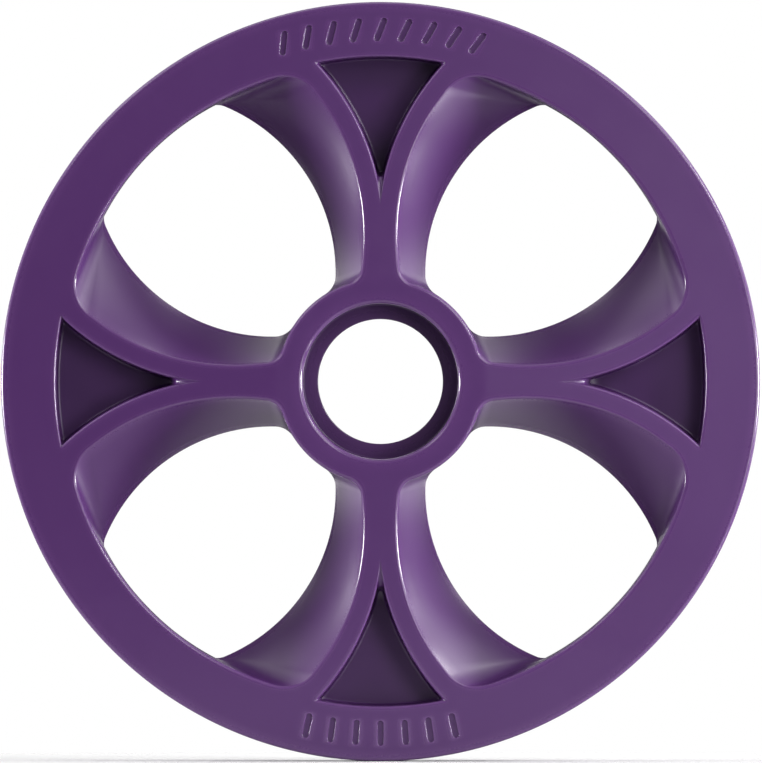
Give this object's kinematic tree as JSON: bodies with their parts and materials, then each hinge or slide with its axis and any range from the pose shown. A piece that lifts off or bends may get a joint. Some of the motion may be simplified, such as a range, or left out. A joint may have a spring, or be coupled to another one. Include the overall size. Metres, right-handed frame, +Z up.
{
  "type": "four-spoke wheel",
  "caption": "Moulded four-spoke wheel with flared hollow-backed spokes, a stepped hub and a pair of thin ball bearings behind its inner lip.",
  "frame": {"origin": "centre of the wheel, on its axle and midway between its two faces", "axes": "+Y along the axle towards the bearing side, so the recessed face looks to -Y; +Z up, with two of the spokes along Z and two along X"},
  "size_m": [0.254, 0.044, 0.254],
  "materials": {
    "purple_moulding": "satin, fine moulded grain",
    "race_steel": "ground",
    "ball_steel": "polished",
    "cage_nylon": "natural, moulded",
    "seal_rubber": "matt",
    "spacer_aluminium": "turned",
    "spring_steel": "phosphated"
  },
  "bodies": {
    "axle_rings": {"front_inner_race": "race_steel", "rear_inner_race": "race_steel", "inner_spacer": "spacer_aluminium"},
    "wheel": {"wheel_body": "purple_moulding", "outer_spacer": "spacer_aluminium", "retaining_ring": "spring_steel", "front_outer_race": "race_steel", "rear_outer_race": "race_steel", "front_bearing_outside_seal": "seal_rubber", "front_bearing_inside_seal": "seal_rubber", "rear_bearing_outside_seal": "seal_rubber", "rear_bearing_inside_seal": "seal_rubber"},
    "front_cage": {"front_balls": "ball_steel", "front_ball_cage": "cage_nylon"},
    "rear_cage": {"rear_balls": "ball_steel", "rear_ball_cage": "cage_nylon"}
  },
  "joints": [
    {"name": "wheel_spin", "type": "hinge", "parent": "axle_rings", "child": "wheel", "pos_m": [0, 0, 0], "axis": [0, 1, 0], "continuous": true},
    {"name": "front_cage_spin", "type": "hinge", "parent": "axle_rings", "child": "front_cage", "pos_m": [0, -0.0005, 0], "axis": [0, 1, 0], "continuous": true},
    {"name": "rear_cage_spin", "type": "hinge", "parent": "axle_rings", "child": "rear_cage", "pos_m": [0, 0.0125, 0], "axis": [0, 1, 0], "continuous": true}
  ],
  "couplings": [
    {"joint": "front_cage_spin", "follows": "wheel_spin", "ratio": 0.53854},
    {"joint": "rear_cage_spin", "follows": "wheel_spin", "ratio": 0.53854}
  ]
}
